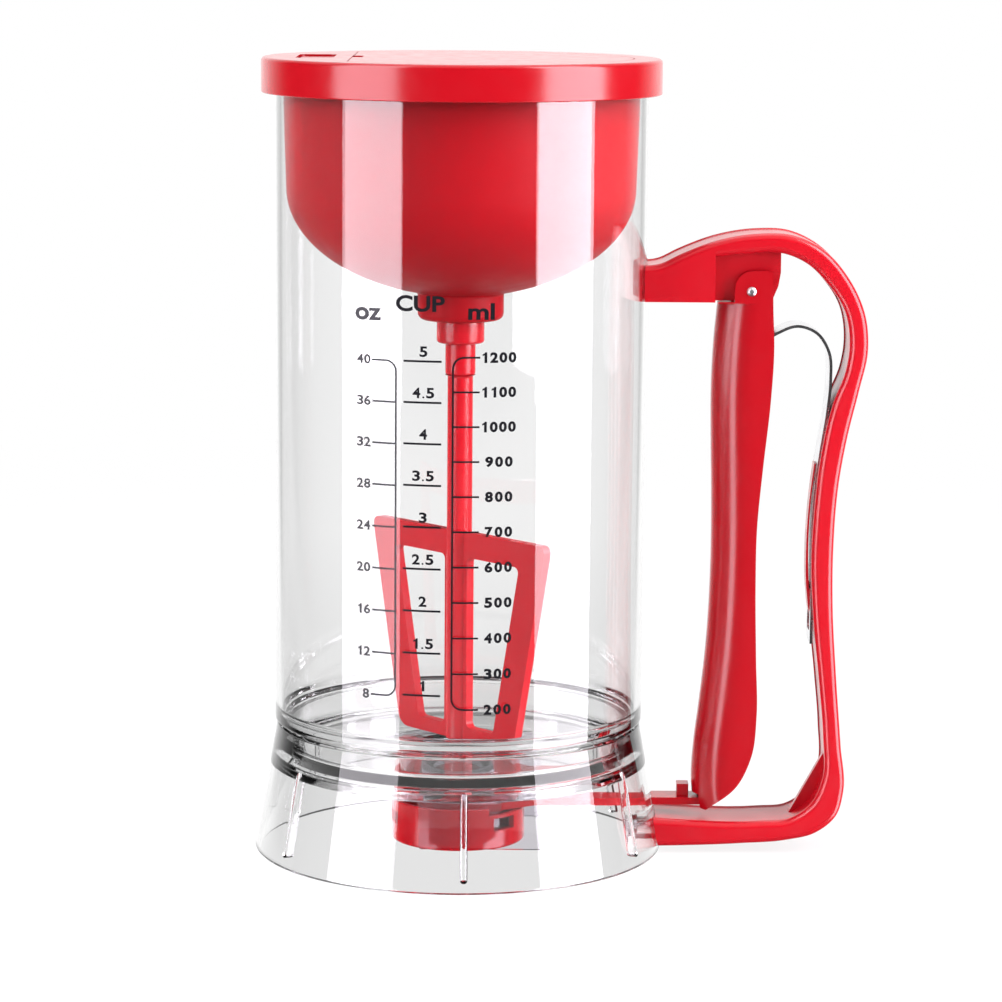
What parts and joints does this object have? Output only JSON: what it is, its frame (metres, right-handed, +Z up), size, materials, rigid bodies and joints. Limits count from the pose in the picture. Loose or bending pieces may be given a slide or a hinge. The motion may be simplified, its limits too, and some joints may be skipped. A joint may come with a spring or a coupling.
{
  "type": "batter mixer dispenser",
  "caption": "Clear measuring jug with a battery whisk in its lid and a squeeze handle whose lever slides open a valve under the floor to pour batter.",
  "frame": {"origin": "on the table, on the jug's axis, in the plane of the skirt's bottom rim", "axes": "+Z up along the jug's axis, +X from the jug toward the handle, -Y toward the measuring scale"},
  "size_m": [0.192, 0.13, 0.25],
  "materials": {
    "clear_plastic": "clear moulded plastic, polished",
    "red_plastic": "red moulded plastic, gloss",
    "silicone": "translucent silicone, satin",
    "steel": "bright steel",
    "white_plastic": "white moulded plastic",
    "black_plastic": "black moulded plastic",
    "cell_wrap": "plain printed cell wrap",
    "nickel": "nickel plate"
  },
  "bodies": {
    "base": {"jug": "clear_plastic", "jug_floor": "clear_plastic", "base_skirt": "clear_plastic", "valve_guide": "clear_plastic", "valve_seal": "silicone", "handle": "red_plastic", "handle_screw": "steel", "leaf_spring": "steel"},
    "lever": {"lever": "red_plastic", "lever_pin": "steel"},
    "valve": {"valve_slide": "red_plastic"},
    "nozzle": {"nozzle_cap": "red_plastic"},
    "motor_unit": {"lid": "red_plastic", "motor_housing": "red_plastic", "housing_screws": "steel", "battery_tray": "white_plastic", "batteries": "cell_wrap", "contact_springs": "nickel", "motor": "steel", "motor_bracket": "white_plastic", "motor_screws": "steel", "shaft_seal": "silicone", "power_switch": "black_plastic"},
    "cover": {"battery_cover": "red_plastic", "contact_plates": "nickel"},
    "button": {"power_button": "red_plastic"},
    "drive": {"motor_shaft": "steel", "drive_coupling": "red_plastic", "whisk": "red_plastic"}
  },
  "joints": [
    {"name": "lever_pivot", "type": "hinge", "parent": "base", "child": "lever", "pos_m": [0.0904, 0, 0.1788], "axis": [0, -1, 0], "range_deg": [0, 7.7], "stiffness_Nm_per_rad": 0.6, "springref_deg": -4.58, "deforming": ["leaf_spring"]},
    {"name": "valve_draw", "type": "slide", "parent": "base", "child": "valve", "axis": [1, 0, 0], "range_m": [0, 0.0222]},
    {"name": "nozzle_lock", "type": "hinge", "parent": "base", "child": "nozzle", "pos_m": [0, 0, 0.01], "axis": [0, 0, 1], "range_deg": [0, 18]},
    {"name": "lid_lift", "type": "slide", "parent": "base", "child": "motor_unit", "axis": [0, 0, 1], "range_m": [0, 0.22]},
    {"name": "cover_lift", "type": "slide", "parent": "motor_unit", "child": "cover", "axis": [0, 0, 1], "range_m": [0, 0.03]},
    {"name": "button_press", "type": "slide", "parent": "motor_unit", "child": "button", "axis": [0, 0, -1], "range_m": [0, 0.0012], "stiffness_N_per_m": 500},
    {"name": "whisk_spin", "type": "hinge", "parent": "motor_unit", "child": "drive", "pos_m": [0, 0, 0.165], "axis": [0, 0, 1], "continuous": true}
  ],
  "couplings": [
    {"joint": "valve_draw", "follows": "lever_pivot", "m_per_rad": 0.1637}
  ]
}
